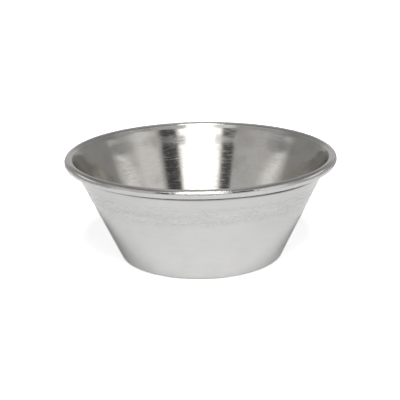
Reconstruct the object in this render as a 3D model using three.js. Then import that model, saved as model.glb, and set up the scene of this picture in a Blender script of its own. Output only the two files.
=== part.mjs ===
// Sauce cup of stainless steel: one deep-drawn sheet with a flat base, a conical wall and a hollow curled rim.
// Millimetres, +Z up. The origin is the centre of the base's underside.

import * as THREE from 'three';

// Driving dimensions
const RIM_DIAMETER = 73; // across the outside of the curled rim
const HEIGHT = 28.2; // from the underside of the base to the top of the rim
const BASE_DIAMETER = 43.8; // where the outer wall, drawn on straight, meets the plane of the underside
const SHEET = 0.5; // thickness of the steel
const CURL_DIAMETER = 2.4; // outside diameter of the bead that the edge is rolled into
const CORNER_RADIUS = 0.4; // inside radius between the floor and the wall
const EDGE_GAP = 0.3; // from the cut edge of the sheet, under the curl, to the wall

// Fineness of the facets
const TURN_SEGMENTS = 72;
const BEND_STEP = THREE.MathUtils.degToRad(15);

// Directions in the section, as angles from straight outwards
const OUTWARDS = 0;
const UPWARDS = Math.PI / 2;
const DOWNWARDS = -Math.PI / 2;

// Polished steel
const STEEL_COLOUR = 0xd0d0ce;
const STEEL_ROUGHNESS = 0.22;
const STEEL_METALNESS = 1.0;

// Points on a round stretch of the section, which passes through each of the angles in turn
function bend(centre, radius, angles) {
  const points = [];
  for (let i = 1; i < angles.length; i++) {
    const start = angles[i - 1];
    const end = angles[i];
    const curve = new THREE.EllipseCurve(centre.x, centre.y, radius, radius, start, end, end < start);
    const steps = Math.ceil(Math.abs(end - start) / BEND_STEP);
    points.push(...curve.getPoints(steps).slice(i === 1 ? 0 : 1));
  }
  return points;
}

// Lean of the wall from the vertical. The wall's inside face runs into the curl's outside as a tangent, so
// its outside face passes the curl's centre at the curl's inside radius.
function wallLean(curl, curlInsideRadius) {
  const across = curl.x - BASE_DIAMETER / 2;
  const distance = Math.hypot(across, curl.y);
  return Math.atan2(across, curl.y) - Math.asin(curlInsideRadius / distance);
}

// Closed section of the sheet, as (radius, height): out along the underside, up the outside of the wall,
// round the inside of the curl to the cut edge, back over its outside, down the inside and in along the floor
function sheetSection() {
  const curlRadius = CURL_DIAMETER / 2;
  const curlInsideRadius = curlRadius - SHEET;
  const curl = new THREE.Vector2(RIM_DIAMETER / 2 - curlRadius, HEIGHT - curlRadius);
  const lean = wallLean(curl, curlInsideRadius);

  // The corner's two radii share one centre, so the sheet keeps its thickness round the bend
  const cornerOutsideRadius = CORNER_RADIUS + SHEET;
  const cornerTangent = cornerOutsideRadius * Math.tan((UPWARDS - lean) / 2);
  const corner = new THREE.Vector2(BASE_DIAMETER / 2 - cornerTangent, cornerOutsideRadius);
  const cornerAngles = [DOWNWARDS, -lean];

  // The curl leaves the wall, passes the rim's highest and widest points, and turns back under itself until
  // its cut edge stands the gap away from the wall
  const curlStart = Math.PI - lean;
  const curlOpening = Math.acos((curlInsideRadius - EDGE_GAP) / curlRadius);
  const curlEnd = curlStart + curlOpening - 2 * Math.PI;
  const curlAngles = [curlStart, UPWARDS, OUTWARDS, curlEnd];

  return [
    new THREE.Vector2(0, 0),
    ...bend(corner, cornerOutsideRadius, cornerAngles),
    ...bend(curl, curlInsideRadius, curlAngles),
    ...bend(curl, curlRadius, curlAngles.toReversed()),
    ...bend(corner, CORNER_RADIUS, cornerAngles.toReversed()),
    new THREE.Vector2(0, SHEET),
  ];
}

// The section turned about its axis, which stands along Z
function cupShell() {
  const geometry = new THREE.LatheGeometry(sheetSection(), TURN_SEGMENTS);
  const steel = new THREE.MeshStandardMaterial({
    color: STEEL_COLOUR,
    roughness: STEEL_ROUGHNESS,
    metalness: STEEL_METALNESS,
  });
  const shell = new THREE.Mesh(geometry, steel);
  shell.name = 'cup_shell';
  shell.rotation.x = Math.PI / 2;
  return shell;
}

const sauceCup = new THREE.Group();
sauceCup.add(cupShell());

export default sauceCup;
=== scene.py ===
"""Looks of the stainless steel sauce cup: a fine model of its sheet, its polish and a white studio."""

import math

import bpy
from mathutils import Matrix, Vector


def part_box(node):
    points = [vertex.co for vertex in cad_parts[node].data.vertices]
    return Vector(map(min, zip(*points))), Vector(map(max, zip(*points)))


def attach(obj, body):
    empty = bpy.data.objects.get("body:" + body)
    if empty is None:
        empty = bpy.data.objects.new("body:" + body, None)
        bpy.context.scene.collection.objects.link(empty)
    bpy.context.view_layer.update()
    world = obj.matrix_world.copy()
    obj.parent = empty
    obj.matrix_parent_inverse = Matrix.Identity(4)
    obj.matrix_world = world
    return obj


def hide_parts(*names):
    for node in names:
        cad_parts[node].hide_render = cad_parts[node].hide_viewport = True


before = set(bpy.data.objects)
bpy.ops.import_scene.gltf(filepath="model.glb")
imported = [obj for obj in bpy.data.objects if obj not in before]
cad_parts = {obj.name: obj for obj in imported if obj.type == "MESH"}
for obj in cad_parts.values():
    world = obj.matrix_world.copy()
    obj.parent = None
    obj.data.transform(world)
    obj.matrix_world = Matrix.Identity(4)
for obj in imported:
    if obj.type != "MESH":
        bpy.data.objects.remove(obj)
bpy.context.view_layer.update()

# Lengths are in metres, as in the frame
MM = 0.001
MICRON = 0.000001

# The sheet: the rim's width and the height come from the frame, and the other sizes are the CAD's
CUP_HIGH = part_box("cup_shell")[1]
RIM_RADIUS = CUP_HIGH.x
HEIGHT = CUP_HIGH.z
BASE_RADIUS = 21.9 * MM
SHEET = 0.5 * MM
CURL_RADIUS = 1.2 * MM
CORNER_RADIUS = 0.4 * MM
EDGE_GAP = 0.3 * MM

# What the tools leave inside the wall: a low step outwards under the rim, and a short flare into the curl
STEP_FOOT = 21.6 * MM
STEP_TOP = 25.6 * MM
STEP_DEPTH = 0.20 * MM
FLARE_LEAN = math.radians(35)
FLARE_HEIGHT = 1.2 * MM

# The roller leaves the curl a little uneven: waves round the cup, how deep each is, and where it starts
CURL_WAVES = ((7, 0.006 * MM, 0.4), (16, 0.005 * MM, 2.1), (29, 0.004 * MM, 5.0))

# Fineness of the mesh
TURN_STEPS = 240
FLAT_STEPS = 12
CORNER_STEPS = 8
WALL_STEPS = 90
CURL_STEPS = 48

# A point nearer to the axis than this lies on it, and an edge that bends more than this is sharp
AXIS_REACH = 1e-9
SHARP_BEND = math.radians(50)

# Tones of the steel in its three places, clean and stained
CLEAN_OUTSIDE = (0.655, 0.653, 0.647, 1)
CLEAN_INSIDE = (0.590, 0.572, 0.535, 1)
CLEAN_CURL = (0.670, 0.662, 0.646, 1)
STAINED_OUTSIDE = (0.626, 0.625, 0.620, 1)
STAINED_INSIDE = (0.515, 0.495, 0.457, 1)
STAINED_CURL = (0.635, 0.627, 0.611, 1)

# Tones of the broad polishing lines, of the scuffs outside, and of the painted shade under the curl
LINE_TONE = (0.58, 0.575, 0.565, 1)
LINE_SHARE = 0.25
SCUFF_TONE = (0.46, 0.46, 0.455, 1)
CREVICE_SHADE_TONE = (0.06, 0.06, 0.058, 1)

# Heights in millimetres between which the dull band outside, and the painted shade on the wall under the
# curl and on the curl's lower edge, come up or fade out
BAND_COMES = (15.0, 19.0)
BAND_FADES = (20.0, 24.5)
WALL_SHADE_COMES = (24.6, 25.3)
CURL_SHADE_FADES = (25.85, 26.25)

# Towards +X the painted shade under the curl reaches up to this many millimetres further down, which come
# in between these cosines
SHADE_SIDE = (0.2, 0.8)
SHADE_REACH = 0.45

# Roughness of clean and of stained steel, and what each mark adds to it
CLEAN_ROUGHNESS = 0.115
STAINED_ROUGHNESS = 0.145
STREAK_ROUGHNESS = 0.14
BAND_ROUGHNESS = 0.12
CREVICE_ROUGHNESS = 0.15
CURL_ROUGHNESS = -0.05

# How far the polishing lines draw the reflections out, and the turn that draws them across the lines
BRUSHING = 0.5
BRUSH_TURN = 0.25

# Depths of the relief, and the share of the grain's that is left outside
DENT_DEPTH = 4 * MICRON
BROAD_DEPTH = 2 * MICRON
GRAIN_DEPTH = 1.5 * MICRON
GRAIN_OUTSIDE = 0.3
FINE_DEPTH = 1 * MICRON
RIPPLE_DEPTH = 45 * MICRON

# The colour sockets of Blender's Mix node, by number
MIX_SHARE = 0
MIX_FIRST = 6
MIX_SECOND = 7
MIX_RESULT = 2

# The table, which lies a hair under the base, and how much lighter the metal and the camera see it
TABLE_REACH = 4.0
TABLE_DROP = 0.05 * MM
TABLE_TONE = (0.92, 0.92, 0.92, 1)
TABLE_LIFT_METAL = 0.03
TABLE_LIFT_CAMERA = 0.68

# The room: its strength as a light, for the camera, and for the metal low down and high up, which changes
# between these sines of the elevation
WHITE = (1, 1, 1, 1)
ROOM_LIGHT = 0.15
ROOM_CAMERA = 1.0
ROOM_LOW = 0.34
ROOM_HIGH = 0.25
ROOM_CHANGE = (0.30, 0.62)

# The lamps stand this far from the middle of the cup, which they and the cards face
LAMP_DISTANCE = 4.0
AIM = Vector((0, 0, HEIGHT / 2))

# Both sides of the studio, with the sign of their azimuth
SIDES = (("right", 1), ("left", -1))

# The camera of the photograph: it looks at the middle of the rim from this far and this high, and is turned
# a little so that the cup stands where it does in the picture
CAMERA_DISTANCE = 292 * MM
CAMERA_ELEVATION = 15.03
CAMERA_TILT = -2.31
CAMERA_PAN = 0.06
CAMERA_ROLL = -0.95
CAMERA_SENSOR = 36.0
CAMERA_LENS = 97.40
CAMERA_NEAR = 0.01
CAMERA_FAR = 20


def arc(centre, radius, start, end, steps):
    """Points of a round stretch of the section, as (radius, height), from one angle to another."""
    points = []
    for i in range(steps + 1):
        angle = start + (end - start) * i / steps
        points.append((centre[0] + radius * math.cos(angle), centre[1] + radius * math.sin(angle)))
    return points


def line(start, end, steps):
    """Points between two others, without those two."""
    points = []
    for i in range(1, steps):
        share = i / steps
        points.append((start[0] + (end[0] - start[0]) * share, start[1] + (end[1] - start[1]) * share))
    return points


def rise_share(height, low, high):
    """0 below one height and 1 above another, with a smooth rise between them."""
    share = min(max((height - low) / (high - low), 0.0), 1.0)
    return share * share * (3 - 2 * share)


def inside_face(foot, top):
    """Points of the wall's inside from the corner to the curl, straight but for the step and the flare."""
    rise = top[1] - foot[1]
    flared = math.tan(FLARE_LEAN)
    straight = (top[0] - foot[0] - STEP_DEPTH - FLARE_HEIGHT * flared / 2) / (rise - FLARE_HEIGHT / 2)
    points = []
    for i in range(1, WALL_STEPS):
        way = rise * i / WALL_STEPS
        radius = foot[0] + straight * way + STEP_DEPTH * rise_share(foot[1] + way, STEP_FOOT, STEP_TOP)
        flare_way = max(way - rise + FLARE_HEIGHT, 0.0)
        radius += (flared - straight) * flare_way ** 2 / (2 * FLARE_HEIGHT)
        points.append((radius, foot[1] + way))
    return points


def sheet_section():
    """Section of the sheet from the middle of the underside, over the curl, to the middle of the floor."""
    inside_radius = CURL_RADIUS - SHEET
    curl = (RIM_RADIUS - CURL_RADIUS, HEIGHT - CURL_RADIUS)
    across = curl[0] - BASE_RADIUS
    lean = math.atan2(across, curl[1]) - math.asin(inside_radius / math.hypot(across, curl[1]))
    corner_outside = CORNER_RADIUS + SHEET
    corner_tangent = corner_outside * math.tan((math.pi / 2 - lean) / 2)
    corner = (BASE_RADIUS - corner_tangent, corner_outside)
    curl_start = math.pi - lean
    curl_end = curl_start + math.acos((inside_radius - EDGE_GAP) / CURL_RADIUS) - 2 * math.pi

    outer_corner = arc(corner, corner_outside, -math.pi / 2, -lean, CORNER_STEPS)
    curl_inside = arc(curl, inside_radius, curl_start, curl_end, CURL_STEPS)
    curl_outside = arc(curl, CURL_RADIUS, curl_end, math.pi - FLARE_LEAN, CURL_STEPS)
    inner_corner = arc(corner, CORNER_RADIUS, -lean, -math.pi / 2, CORNER_STEPS)
    outer_wall = line(outer_corner[-1], curl_inside[0], WALL_STEPS)
    inner_wall = inside_face(inner_corner[0], curl_outside[-1])
    underside_middle = (0.0, 0.0)
    floor_middle = (0.0, SHEET)
    underside = [underside_middle, *line(underside_middle, outer_corner[0], FLAT_STEPS)]
    floor = [*line(inner_corner[-1], floor_middle, FLAT_STEPS), floor_middle]

    stretches = (
        ("outside", underside + outer_corner + outer_wall),
        ("curl", curl_inside + curl_outside),
        ("inside", inner_wall[::-1] + inner_corner + floor),
    )
    return [(name, point) for name, points in stretches for point in points]


def curl_offset(angle):
    """How far the uneven curl stays inside its true circle at this angle round the cup."""
    offset = 0.0
    for count, depth, phase in CURL_WAVES:
        offset -= depth * (1 + math.sin(count * angle + phase)) / 2
    return offset


def cup_mesh():
    """The sheet's section turned round the axis.

    Each point carries what the polish follows: "brush" is the direction round the cup and the way along the
    section in millimetres, and "place" is 1 inside the cup, 1 on the curl, and the height in millimetres.
    """
    section = sheet_section()
    vertices = []
    brush = []
    place = []
    rows = []
    ways = []
    travelled = 0.0
    last = section[0][1]
    for stretch, (radius, height) in section:
        travelled += math.hypot(radius - last[0], height - last[1])
        ways.append(travelled)
        last = (radius, height)
        row = []
        for i in range(1 if radius < AXIS_REACH else TURN_STEPS):
            angle = 2 * math.pi * i / TURN_STEPS
            r = radius + (curl_offset(angle) if stretch == "curl" else 0.0)
            row.append(len(vertices))
            vertices.append((r * math.cos(angle), r * math.sin(angle), height))
            brush.extend((math.cos(angle), math.sin(angle), travelled / MM))
            place.extend((float(stretch == "inside"), float(stretch == "curl"), height / MM))
        rows.append(row)

    faces = []
    unrolled = []
    for k in range(len(rows) - 1):
        below = rows[k]
        above = rows[k + 1]
        v0 = ways[k] / travelled
        v1 = ways[k + 1] / travelled
        for i in range(TURN_STEPS):
            j = (i + 1) % TURN_STEPS
            u0 = i / TURN_STEPS
            u1 = (i + 1) / TURN_STEPS
            if len(below) == 1:
                faces.append((below[0], above[j], above[i]))
                unrolled.extend((u0, v0, u1, v1, u0, v1))
            elif len(above) == 1:
                faces.append((below[i], below[j], above[0]))
                unrolled.extend((u0, v0, u1, v0, u0, v1))
            else:
                faces.append((below[i], below[j], above[j], above[i]))
                unrolled.extend((u0, v0, u1, v0, u1, v1, u0, v1))

    mesh = bpy.data.meshes.new("cup")
    mesh.from_pydata(vertices, [], faces)
    mesh.attributes.new("brush", "FLOAT_VECTOR", "POINT").data.foreach_set("vector", brush)
    mesh.attributes.new("place", "FLOAT_VECTOR", "POINT").data.foreach_set("vector", place)
    mesh.uv_layers.new(name="OFBake").uv.foreach_set("vector", unrolled)
    mesh.shade_smooth()
    mesh.set_sharp_from_angle(angle=SHARP_BEND)
    mesh.update()
    return mesh


class Nodes:
    """The node tree of a material or a world, with short ways to add to it."""

    def __init__(self, owner, output="OutputMaterial"):
        self.owner = owner
        self.owner.use_nodes = True
        self.tree = self.owner.node_tree
        self.tree.nodes.clear()
        self.output = self.add(output)

    def add(self, kind, inputs=None, **settings):
        """A node with these settings; an input is given a value or another node's output."""
        node = self.tree.nodes.new("ShaderNode" + kind)
        for key, value in settings.items():
            setattr(node, key, value)
        for key, value in (inputs or {}).items():
            if isinstance(value, bpy.types.NodeSocket):
                self.tree.links.new(value, node.inputs[key])
            else:
                node.inputs[key].default_value = value
        return node

    def math(self, operation, first, second):
        return self.add("Math", {0: first, 1: second}, operation=operation).outputs["Value"]

    def split(self, vector):
        """The outputs X, Y and Z of a vector."""
        return self.add("SeparateXYZ", {"Vector": vector}).outputs

    def remap(self, value, low, high, start=0.0, end=1.0):
        """The value from low to high as one from start to end, softly and without running past them."""
        limits = {"From Min": low, "From Max": high, "To Min": start, "To Max": end}
        node = self.add("MapRange", {"Value": value, **limits}, interpolation_type="SMOOTHSTEP")
        return node.outputs["Result"]

    def noise(self, where, scale, detail, roughness=0.5):
        """Noise in a space stretched by the scale's three numbers."""
        mapping = self.add("Mapping", {"Vector": where, "Scale": scale}, vector_type="POINT")
        stretched = mapping.outputs["Vector"]
        inputs = {"Vector": stretched, "Scale": 1.0, "Detail": detail, "Roughness": roughness}
        return self.add("TexNoise", inputs, noise_dimensions="3D").outputs["Fac"]

    def mix_colour(self, share, first, second):
        inputs = {MIX_SHARE: share, MIX_FIRST: first, MIX_SECOND: second}
        return self.add("Mix", inputs, data_type="RGBA").outputs[MIX_RESULT]

    def mix_shader(self, share, first, second):
        return self.add("MixShader", {0: share, 1: first, 2: second}).outputs["Shader"]

    def emission(self, strength):
        return self.add("Emission", {"Strength": strength}).outputs["Emission"]

    def background(self, strength):
        return self.add("Background", {"Color": WHITE, "Strength": strength}).outputs["Background"]

    def by_ray(self, other, for_metal, for_camera):
        """One shader for what metal and glass mirror, one for the camera, and one for all other rays."""
        path = self.add("LightPath").outputs
        mirrored = self.math("MAXIMUM", path["Is Glossy Ray"], path["Is Transmission Ray"])
        indirect = self.mix_shader(mirrored, other, for_metal)
        return self.mix_shader(path["Is Camera Ray"], indirect, for_camera)

    def bump(self, height, distance, below=None):
        """The surface's direction with this relief on it, on top of the relief below."""
        inputs = {"Height": height, "Distance": distance}
        if below is not None:
            inputs["Normal"] = below
        return self.add("Bump", inputs).outputs["Normal"]

    def finish(self, shader):
        self.tree.links.new(shader, self.output.inputs["Surface"])
        return self.owner


def steel():
    """Polished stainless steel: lines round the cup, a dull scuffed band outside, stains of use, and
    painted shade under the curl.
    """
    n = Nodes(bpy.data.materials.new("steel"))
    brush = n.add("Attribute", attribute_name="brush").outputs["Vector"]
    place = n.split(n.add("Attribute", attribute_name="place").outputs["Vector"])
    inside = place["X"]
    curl = place["Y"]
    height = place["Z"]
    outside = n.math("SUBTRACT", 1.0, inside)
    spot = n.add("TexCoord").outputs["Object"]

    # Polishing lines, from hair-fine to broad, which run a long way round and are narrow across
    fine = n.noise(brush, scale=(6.0, 6.0, 7.0), detail=2.0)
    broad = n.noise(brush, scale=(2.2, 2.2, 1.7), detail=3.0)
    grain = n.noise(brush, scale=(24, 24, 3.0), detail=2.0)
    grain = n.math("MULTIPLY", grain, n.remap(inside, low=0.0, high=1.0, start=GRAIN_OUTSIDE))
    streaks = n.noise(brush, scale=(9, 9, 3.0), detail=3.0, roughness=0.6)
    streaks = n.remap(streaks, low=0.44, high=0.74)

    # Stains a few millimetres wide, slow dents, and ripples of the rolled curl
    stains = n.noise(spot, scale=(170, 170, 170), detail=4.0, roughness=0.6)
    dents = n.noise(spot, scale=(95, 95, 95), detail=1.0)
    ripples = n.math("MULTIPLY", n.noise(brush, scale=(34, 34, 1.0), detail=1.5), curl)

    # A dull band lies outside, under the rim, with smudges and scratches drawn out round the cup
    band = n.math("MULTIPLY", n.remap(height, *BAND_COMES), outside)
    band = n.math("MULTIPLY", band, n.remap(height, *BAND_FADES, start=1.0, end=0.0))
    smudges = n.noise(brush, scale=(0.9, 0.9, 0.50), detail=1.0, roughness=0.45)
    smudges = n.remap(smudges, low=0.40, high=0.70, start=0.05, end=0.34)
    scratches = n.noise(brush, scale=(1.6, 1.6, 1.6), detail=1.0, roughness=0.45)
    scratches = n.remap(scratches, low=0.52, high=0.76, end=0.12)
    scuffs = n.math("MULTIPLY", band, n.math("ADD", smudges, scratches))

    # The polish doesn't reach under the curl, so it is rougher there, and the crevice is darkened with
    # painted shade, deeper on the +X side
    shade_height = n.math("ADD", height, n.remap(n.split(brush)["X"], *SHADE_SIDE, end=SHADE_REACH))
    wall = n.math("SUBTRACT", outside, curl)
    wall_crevice_shade = n.math("MULTIPLY", n.remap(shade_height, *WALL_SHADE_COMES), wall)
    curl_crevice_shade = n.math("MULTIPLY", n.remap(height, *CURL_SHADE_FADES, start=1.0, end=0.0), curl)
    crevice_shade = n.math("ADD", wall_crevice_shade, curl_crevice_shade)

    clean_tone = n.mix_colour(curl, n.mix_colour(inside, CLEAN_OUTSIDE, CLEAN_INSIDE), CLEAN_CURL)
    stain_tone = n.mix_colour(curl, n.mix_colour(inside, STAINED_OUTSIDE, STAINED_INSIDE), STAINED_CURL)
    tone = n.mix_colour(n.remap(stains, low=0.44, high=0.72), clean_tone, stain_tone)
    tone = n.mix_colour(n.remap(broad, low=0.30, high=0.72, end=LINE_SHARE), tone, LINE_TONE)
    tone = n.mix_colour(scuffs, tone, SCUFF_TONE)
    # Painted shade: the crevice under the curl darkened to near black
    tone = n.mix_colour(crevice_shade, tone, CREVICE_SHADE_TONE)

    roughness = n.remap(stains, low=0.4, high=0.75, start=CLEAN_ROUGHNESS, end=STAINED_ROUGHNESS)
    rough_marks = (
        (streaks, STREAK_ROUGHNESS),
        (band, BAND_ROUGHNESS),
        (crevice_shade, CREVICE_ROUGHNESS),
        (curl, CURL_ROUGHNESS),
    )
    for mark, amount in rough_marks:
        roughness = n.math("ADD", roughness, n.math("MULTIPLY", mark, amount))

    relief = n.bump(dents, DENT_DEPTH)
    raised_marks = (
        (broad, BROAD_DEPTH),
        (grain, GRAIN_DEPTH),
        (fine, FINE_DEPTH),
        (ripples, RIPPLE_DEPTH),
    )
    for mark, depth in raised_marks:
        relief = n.bump(mark, depth, relief)

    shader = n.add("BsdfPrincipled", {"Base Color": tone, "Roughness": roughness, "Normal": relief})
    shader.inputs["Metallic"].default_value = 1.0
    shader.inputs["Anisotropic"].default_value = BRUSHING
    shader.inputs["Anisotropic Rotation"].default_value = BRUSH_TURN
    tangent = n.add("Tangent", direction_type="RADIAL", axis="Z")
    n.tree.links.new(tangent.outputs["Tangent"], shader.inputs["Tangent"])
    return n.finish(shader.outputs["BSDF"])


def link(obj):
    bpy.context.scene.collection.objects.link(obj)
    return obj


def direction(azimuth, elevation):
    """Unit vector from the cup: azimuth 0 is towards the camera's side and 90 towards +X."""
    a = math.radians(azimuth)
    e = math.radians(elevation)
    return Vector((math.sin(a) * math.cos(e), -math.cos(a) * math.cos(e), math.sin(e)))


def half_size(angle, distance):
    """Half of the length that spans this angle, in degrees, from this far away."""
    return distance * math.tan(math.radians(angle / 2))


def stand(obj, azimuth, elevation, distance):
    """Stands a lamp or a card this far from the cup and faces it."""
    away = direction(azimuth, elevation)
    obj.location = AIM + away * distance
    obj.rotation_mode = "QUATERNION"
    obj.rotation_quaternion = (-away).to_track_quat("-Z", "Y")


def softbox(name, azimuth, elevation, width, length, radiance):
    """A lamp of even brightness, whose width and length are angles as the cup sees them."""
    lamp = bpy.data.lights.new(name, "AREA")
    lamp.shape = "RECTANGLE"
    lamp.size = 2 * half_size(width, LAMP_DISTANCE)
    lamp.size_y = 2 * half_size(length, LAMP_DISTANCE)
    lamp.energy = radiance * math.pi * lamp.size * lamp.size_y
    obj = link(bpy.data.objects.new(name, lamp))
    obj.visible_camera = False
    obj.visible_glossy = False
    stand(obj, azimuth, elevation, LAMP_DISTANCE)


def card(
    name, azimuth, elevation, distance, width, height, radiance, side_edge, end_edge, top=1.0, slant=0.0
):
    """A card of the studio, which only the metal sees.

    Its width and height are angles. Its sides and its two ends fade over these shares of its half size. Its
    upper end is this many times as wide as its lower one, and lies this many half widths further round.
    """
    x = half_size(width, distance)
    y = half_size(height, distance)
    clear_x = x * (1 - side_edge)
    clear_y = y * (1 - end_edge)
    corners = ((-1, -1, 1.0, 0.0), (1, -1, 1.0, 0.0), (1, 1, top, slant), (-1, 1, top, slant))
    outer = [(x * (i * share + shift), y * j, 0) for i, j, share, shift in corners]
    inner = [(clear_x * i * share + x * shift, clear_y * j, 0) for i, j, share, shift in corners]
    count = len(corners)
    edges = [(i, (i + 1) % count, count + (i + 1) % count, count + i) for i in range(count)]
    middle = tuple(range(count, 2 * count))
    covers = [0.0] * count + [1.0] * count
    mesh = bpy.data.meshes.new(name)
    mesh.from_pydata(outer + inner, [], [*edges, middle])
    mesh.attributes.new("cover", "FLOAT", "POINT").data.foreach_set("value", covers)

    n = Nodes(bpy.data.materials.new(name))
    cover = n.add("Attribute", attribute_name="cover").outputs["Fac"]
    clear = n.add("BsdfTransparent").outputs["BSDF"]
    mesh.materials.append(n.finish(n.mix_shader(cover, clear, n.emission(radiance))))

    obj = link(bpy.data.objects.new(name, mesh))
    obj.visible_camera = False
    obj.visible_shadow = False
    obj.visible_diffuse = False
    stand(obj, azimuth, elevation, distance)


def table():
    """A white floor. The metal sees it a little lighter than it is, and the camera more, shadow and all."""
    n = Nodes(bpy.data.materials.new("floor_white"))
    white = n.add("BsdfDiffuse", {"Color": TABLE_TONE}).outputs["BSDF"]
    for_metal = n.add("AddShader", {0: white, 1: n.emission(TABLE_LIFT_METAL)}).outputs["Shader"]
    for_camera = n.add("AddShader", {0: white, 1: n.emission(TABLE_LIFT_CAMERA)}).outputs["Shader"]

    signs = ((-1, -1), (1, -1), (1, 1), (-1, 1))
    corners = [(TABLE_REACH * i, TABLE_REACH * j, -TABLE_DROP) for i, j in signs]
    mesh = bpy.data.meshes.new("floor")
    mesh.from_pydata(corners, [], [(0, 1, 2, 3)])
    mesh.materials.append(n.finish(n.by_ray(white, for_metal, for_camera)))
    link(bpy.data.objects.new("floor", mesh))


def room():
    """The world: white for the camera, grey and darker upwards for the metal, and weak as a light."""
    n = Nodes(bpy.data.worlds.new("studio"), "OutputWorld")
    upwards = n.split(n.add("TexCoord").outputs["Generated"])["Z"]
    grey = n.remap(upwards, *ROOM_CHANGE, start=ROOM_LOW, end=ROOM_HIGH)
    shader = n.by_ray(n.background(ROOM_LIGHT), n.background(grey), n.background(ROOM_CAMERA))
    bpy.context.scene.world = n.finish(shader)


def lamps():
    """What lights the table. The metal doesn't mirror it."""
    softbox("key", azimuth=4, elevation=56.5, width=17, length=14, radiance=31.8)
    for side, sign in SIDES:
        softbox(f"fill_lamp_{side}", azimuth=60 * sign, elevation=45, width=40, length=40, radiance=0.9)


def key_cards():
    """The white strip inside the far wall, and a weak light from above and behind."""
    card(
        "key_face", azimuth=0, elevation=58.5, distance=2.00, width=51.5, height=61,
        radiance=2.60, side_edge=0.3, end_edge=0.1, top=0.36,
    )
    card(
        "top_glow", azimuth=180, elevation=62, distance=1.50, width=44, height=60,
        radiance=0.50, side_edge=0.6, end_edge=0.4,
    )


def side_cards():
    """The grey of the inside, right and left, and its lighter patches low down, which near boards give."""
    card(
        "side_right", azimuth=57, elevation=19.5, distance=1.25, width=68, height=40,
        radiance=0.66, side_edge=0.6, end_edge=0.2,
    )
    card(
        "side_left", azimuth=-56, elevation=19.5, distance=1.25, width=66, height=41,
        radiance=0.63, side_edge=0.6, end_edge=0.2,
    )
    card(
        "fill_right", azimuth=60, elevation=22.5, distance=1.15, width=34, height=36,
        radiance=0.88, side_edge=0.5, end_edge=0.2,
    )
    card(
        "board_right", azimuth=98, elevation=25, distance=0.12, width=36, height=14,
        radiance=1.08, side_edge=0.7, end_edge=0.6,
    )
    card(
        "board_left", azimuth=-98, elevation=25, distance=0.12, width=36, height=14,
        radiance=1.06, side_edge=0.7, end_edge=0.6,
    )
    for side, sign in SIDES:
        card(
            f"upper_{side}", azimuth=80 * sign, elevation=40, distance=1.35, width=44, height=26,
            radiance=0.45, side_edge=0.6, end_edge=0.5,
        )


def low_cards():
    """What the outer wall and the curl see near the table: fences close by, cards behind and in front."""
    card(
        "fence_right", azimuth=92, elevation=2, distance=0.115, width=66, height=23,
        radiance=0.62, side_edge=0.4, end_edge=0.4,
    )
    card(
        "fence_left", azimuth=-92, elevation=2, distance=0.115, width=66, height=23,
        radiance=0.50, side_edge=0.4, end_edge=0.4,
    )
    card(
        "fence_back", azimuth=180, elevation=0, distance=0.085, width=124, height=30,
        radiance=0.44, side_edge=0.2, end_edge=0.15,
    )
    card(
        "back", azimuth=180, elevation=6, distance=1.20, width=70, height=36,
        radiance=0.52, side_edge=0.35, end_edge=0.35,
    )
    card(
        "front", azimuth=0, elevation=11, distance=1.10, width=110, height=32,
        radiance=0.62, side_edge=0.25, end_edge=0.25,
    )


def high_cards():
    """Light above the flags and the side cards, which the step inside the wall turns towards the camera."""
    card(
        "glow_right", azimuth=29, elevation=48, distance=0.95, width=22, height=18,
        radiance=0.60, side_edge=0.35, end_edge=0.2,
    )
    card(
        "glow_left", azimuth=-29, elevation=48, distance=0.95, width=22, height=18,
        radiance=0.95, side_edge=0.35, end_edge=0.2,
    )
    card(
        "shoulder_right", azimuth=45, elevation=43, distance=0.98, width=20, height=20,
        radiance=0.60, side_edge=0.4, end_edge=0.3,
    )
    card(
        "shoulder_left", azimuth=-48, elevation=43, distance=0.98, width=28, height=24,
        radiance=0.52, side_edge=0.4, end_edge=0.3,
    )


def flags():
    """The dark strips inside the far wall, beside the white one, and a grey shelf along one of them."""
    card(
        "shelf_right", azimuth=45.5, elevation=31, distance=0.92, width=5.5, height=25,
        radiance=0.50, side_edge=0.5, end_edge=0.3,
    )
    card(
        "flag_right", azimuth=34.3, elevation=31, distance=0.90, width=19.6, height=25,
        radiance=0.06, side_edge=0.22, end_edge=0.3, top=0.82, slant=0.12,
    )
    card(
        "flag_left", azimuth=-31.0, elevation=30.2, distance=0.90, width=12.8, height=23.6,
        radiance=0.08, side_edge=0.3, end_edge=0.05, top=1.05, slant=-0.20,
    )


def studio():
    """Everything round the cup."""
    room()
    table()
    lamps()
    key_cards()
    side_cards()
    low_cards()
    high_cards()
    flags()


def camera():
    """The photograph's camera."""
    data = bpy.data.cameras.new("camera")
    data.sensor_width = CAMERA_SENSOR
    data.lens = CAMERA_LENS
    data.clip_start = CAMERA_NEAR
    data.clip_end = CAMERA_FAR
    obj = link(bpy.data.objects.new("camera", data))
    rim_middle = Vector((0, 0, HEIGHT - CURL_RADIUS))
    obj.location = rim_middle + direction(0, CAMERA_ELEVATION) * CAMERA_DISTANCE
    obj.rotation_mode = "ZYX"
    obj.rotation_euler = (
        math.radians(90 - CAMERA_ELEVATION + CAMERA_TILT),
        math.radians(CAMERA_PAN),
        math.radians(CAMERA_ROLL),
    )
    bpy.context.scene.camera = obj


camera()
studio()
cup = link(bpy.data.objects.new("cup", cup_mesh()))
cup.data.materials.append(steel())
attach(cup, "root")
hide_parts("cup_shell")

bpy.context.scene.view_settings.view_transform = "Standard"
